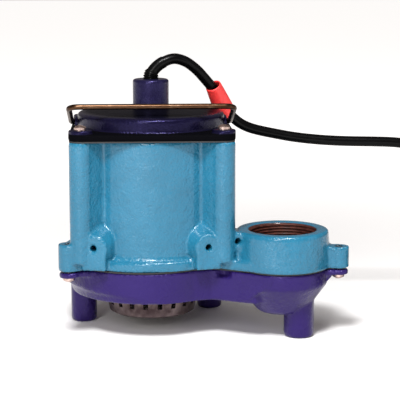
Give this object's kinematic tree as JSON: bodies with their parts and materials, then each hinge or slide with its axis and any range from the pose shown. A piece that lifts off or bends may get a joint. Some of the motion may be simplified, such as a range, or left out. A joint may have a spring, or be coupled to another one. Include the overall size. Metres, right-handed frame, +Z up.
{
  "type": "submersible sump pump",
  "caption": "Compact submersible sump pump: round cast motor housing with side outlet, spiral volute on three legs, domed cap with wire bail handle and power cord.",
  "frame": {"origin": "middle of the pump's footprint, at the level of the floor that the legs stand on, without the cord", "axes": "+Z up along the motor axis, +X from the motor towards the outlet side, -Y to the front with the two bosses"},
  "size_m": [0.411, 0.173, 0.2019],
  "materials": {
    "housing_epoxy": "glossy light blue epoxy coat on cast iron",
    "dark_epoxy": "glossy dark blue violet epoxy coat on cast metal",
    "gasket_rubber": "matt black",
    "screw_steel": "stainless, slotted, warm reflections",
    "handle_wire": "drawn wire with a copper tint",
    "nut_epoxy": "satin dark blue violet",
    "cord_jacket": "satin black thermoplastic jacket",
    "hood_vinyl": "soft red vinyl",
    "tie_plastic": "black tie band",
    "plug_moulding": "moulded black plug",
    "blade_brass": "bright stamped brass",
    "lamination_steel": "stacked electrical steel",
    "winding_copper": "varnished copper winding",
    "lead_insulation": "insulated leads",
    "protector_case": "moulded thermal cut-out",
    "cage_aluminium": "die cast rotor cage",
    "shaft_steel": "ground stainless shaft",
    "bearing_bronze": "sintered bronze",
    "washer_steel": "hardened thrust washer",
    "bracket_casting": "as cast",
    "bolt_steel": "zinc plated",
    "seat_ceramic": "ground ceramic seal seat",
    "seal_rubber": "nitrile bellows",
    "impeller_polymer": "glass filled polymer",
    "nut_brass": "turned brass",
    "strainer_steel": "punched stainless sheet"
  },
  "bodies": {
    "pump": {"motor_housing": "housing_epoxy", "cap": "dark_epoxy", "cap_gasket": "gasket_rubber", "cap_screws": "screw_steel", "cord_nut": "nut_epoxy", "strain_relief": "cord_jacket", "cord_lead": "cord_jacket", "cord_hood": "hood_vinyl", "cord_coil": "cord_jacket", "cord_tail": "cord_jacket", "coil_tie": "tie_plastic", "plug_body": "plug_moulding", "plug_blades": "blade_brass", "plug_ground_pin": "blade_brass", "stator_core": "lamination_steel", "lower_winding": "winding_copper", "upper_winding": "winding_copper", "motor_leads": "lead_insulation", "thermal_protector": "protector_case", "upper_bearing": "bearing_bronze", "lower_bearing": "bearing_bronze", "thrust_washer": "washer_steel", "bearing_bracket": "bracket_casting", "stator_bolts": "bolt_steel", "seal_seat": "seat_ceramic", "volute_gasket": "gasket_rubber", "volute": "dark_epoxy", "volute_screws": "screw_steel", "strainer": "strainer_steel", "strainer_screws": "screw_steel"},
    "rotor": {"motor_shaft": "shaft_steel", "rotor_core": "lamination_steel", "rotor_cage": "cage_aluminium", "impeller": "impeller_polymer", "impeller_nut": "nut_brass", "seal_head": "seal_rubber"},
    "handle": {"handle": "handle_wire"}
  },
  "joints": [
    {"name": "shaft_spin", "type": "hinge", "parent": "pump", "child": "rotor", "pos_m": [-0.037, -0.0022, 0.1], "axis": [0, 0, 1], "continuous": true},
    {"name": "handle_swing", "type": "hinge", "parent": "pump", "child": "handle", "pos_m": [-0.037, -0.0022, 0.1525], "axis": [-1, 0, 0], "range_deg": [-5, 58]}
  ]
}
